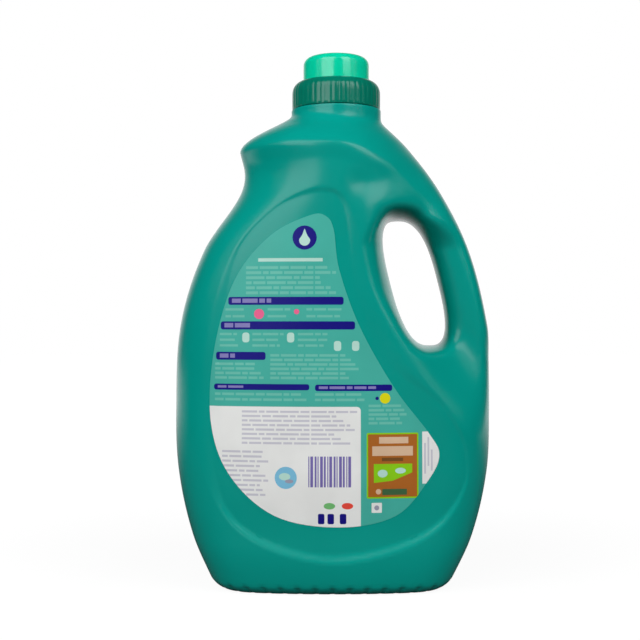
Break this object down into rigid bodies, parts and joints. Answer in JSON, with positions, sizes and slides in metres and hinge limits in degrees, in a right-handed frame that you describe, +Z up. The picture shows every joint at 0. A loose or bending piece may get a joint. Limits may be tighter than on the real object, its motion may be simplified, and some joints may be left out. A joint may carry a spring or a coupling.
{
  "type": "stain remover bottle",
  "caption": "Blow-moulded plastic bottle with a side handle, sunk label panels, a pouring insert and a ribbed screw ring that holds a clear dosing cup.",
  "frame": {"origin": "middle of the footprint on the ground plane", "axes": "+Z up along the neck, +X toward the handle, -Y out of the labelled back"},
  "size_m": [0.1712, 0.1, 0.2845],
  "materials": {
    "bottle": "satin blow-moulded, teal green",
    "insert": "moulded, off-white",
    "cup": "clear tinted green",
    "ring": "moulded, dark green",
    "label": "printed film, plain fields only"
  },
  "bodies": {
    "bottle_set": {"bottle": "bottle", "pour_insert": "insert", "back_label": "label"},
    "cup": {"dosing_cup": "cup"},
    "ring": {"screw_ring": "ring"}
  },
  "joints": [
    {"name": "cap_lift", "type": "slide", "parent": "bottle_set", "child": "cup", "axis": [0, 0, 1], "range_m": [0, 0.024]},
    {"name": "ring_turn", "type": "hinge", "parent": "cup", "child": "ring", "pos_m": [0.002, 0, 0.2635], "axis": [0, 0, 1], "range_deg": [0, 720]}
  ],
  "couplings": [
    {"joint": "cap_lift", "follows": "ring_turn", "m_per_rad": 0.0019098}
  ]
}
